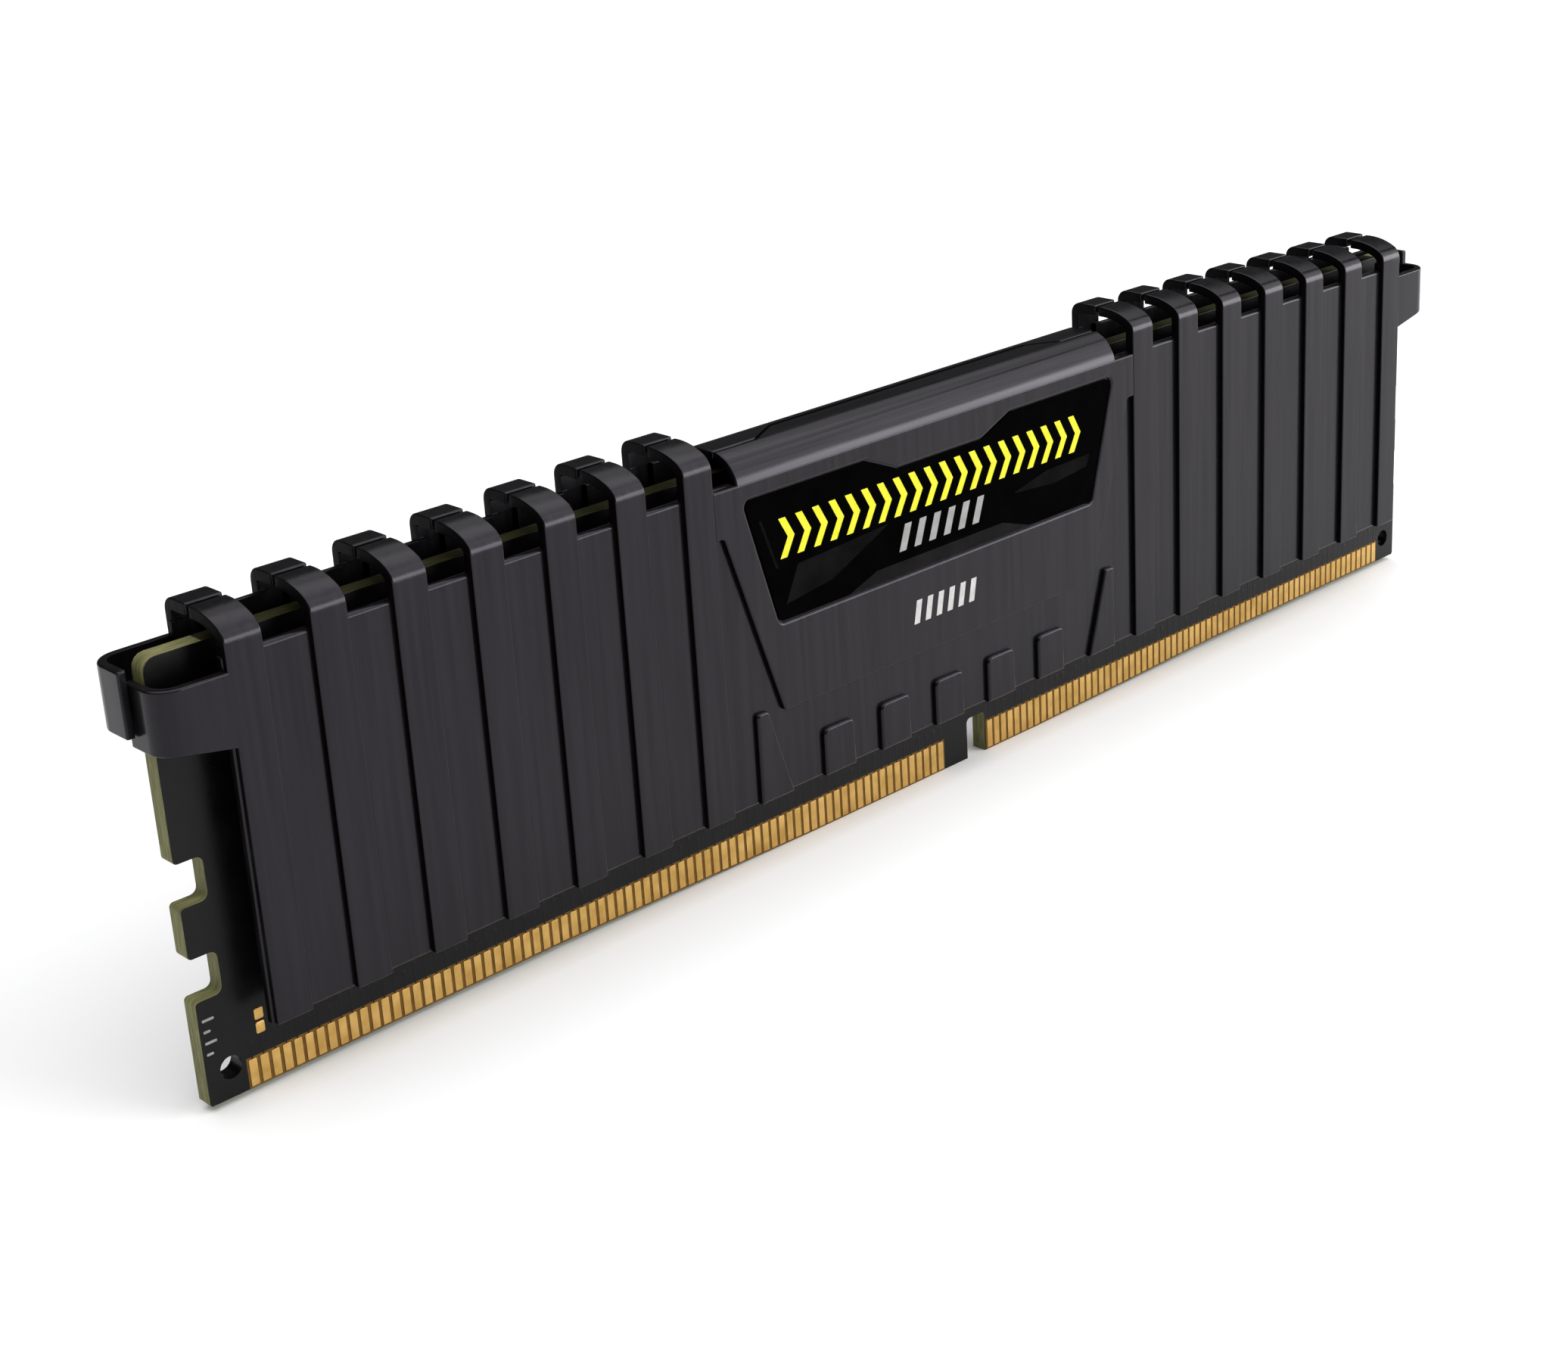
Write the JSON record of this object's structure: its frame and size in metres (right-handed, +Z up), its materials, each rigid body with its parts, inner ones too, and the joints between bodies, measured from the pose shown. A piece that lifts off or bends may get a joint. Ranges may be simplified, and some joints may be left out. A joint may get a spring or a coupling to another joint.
{
  "type": "ram module",
  "caption": "Desktop memory module: a notched circuit board with a gold contact edge, clad in a low two-plate stamped heat spreader with raised ribs and folded top straps.",
  "frame": {"origin": "middle of the lowest stretch of the contact edge, half-way through the board's thickness", "axes": "+X along the module towards the end nearer the key notch, +Y from the front to the rear, +Z up from the contacts to the top straps"},
  "size_m": [0.1364, 0.0066, 0.0344],
  "materials": {
    "solder_mask": "black solder mask over glass-epoxy laminate, satin, with a bare olive edge",
    "gold_plating": "thin bright gold plating on flat copper pads",
    "anodised_aluminium": "fine-blasted, dark charcoal anodised sheet aluminium, satin",
    "label_film": "smooth printed black film",
    "chip_mould": "fine matt moulding compound",
    "resistor_body": "black film body with bright end caps",
    "capacitor_ceramic": "tan fired ceramic with bright end caps",
    "thermal_gel": "soft matt grey gel sheet"
  },
  "bodies": {
    "root": {"board": "solder_mask", "contacts_front_left": "gold_plating", "contacts_front_right": "gold_plating", "contacts_rear_left": "gold_plating", "contacts_rear_right": "gold_plating", "test_pad_lower": "gold_plating", "test_pad_upper": "gold_plating", "heat_spreader_front": "anodised_aluminium", "label_front": "label_film", "heat_spreader_rear": "anodised_aluminium", "label_rear": "label_film", "memory_chip_front_1": "chip_mould", "memory_chip_front_2": "chip_mould", "memory_chip_front_3": "chip_mould", "memory_chip_front_4": "chip_mould", "memory_chip_front_5": "chip_mould", "memory_chip_front_6": "chip_mould", "memory_chip_front_7": "chip_mould", "memory_chip_front_8": "chip_mould", "memory_chip_rear_1": "chip_mould", "memory_chip_rear_2": "chip_mould", "memory_chip_rear_3": "chip_mould", "memory_chip_rear_4": "chip_mould", "memory_chip_rear_5": "chip_mould", "memory_chip_rear_6": "chip_mould", "memory_chip_rear_7": "chip_mould", "memory_chip_rear_8": "chip_mould", "presence_detect_chip": "chip_mould", "resistor_array_front_1": "resistor_body", "resistor_array_front_2": "resistor_body", "resistor_array_front_3": "resistor_body", "resistor_array_front_4": "resistor_body", "resistor_array_rear_1": "resistor_body", "resistor_array_rear_2": "resistor_body", "resistor_array_rear_3": "resistor_body", "resistor_array_rear_4": "resistor_body", "capacitor_front_1": "capacitor_ceramic", "capacitor_front_2": "capacitor_ceramic", "capacitor_front_3": "capacitor_ceramic", "capacitor_front_4": "capacitor_ceramic", "capacitor_rear_1": "capacitor_ceramic", "capacitor_rear_2": "capacitor_ceramic", "capacitor_rear_3": "capacitor_ceramic", "capacitor_rear_4": "capacitor_ceramic", "thermal_pad_front_left": "thermal_gel", "thermal_pad_front_right": "thermal_gel", "thermal_pad_rear_left": "thermal_gel", "thermal_pad_rear_right": "thermal_gel"}
  },
  "joints": []
}
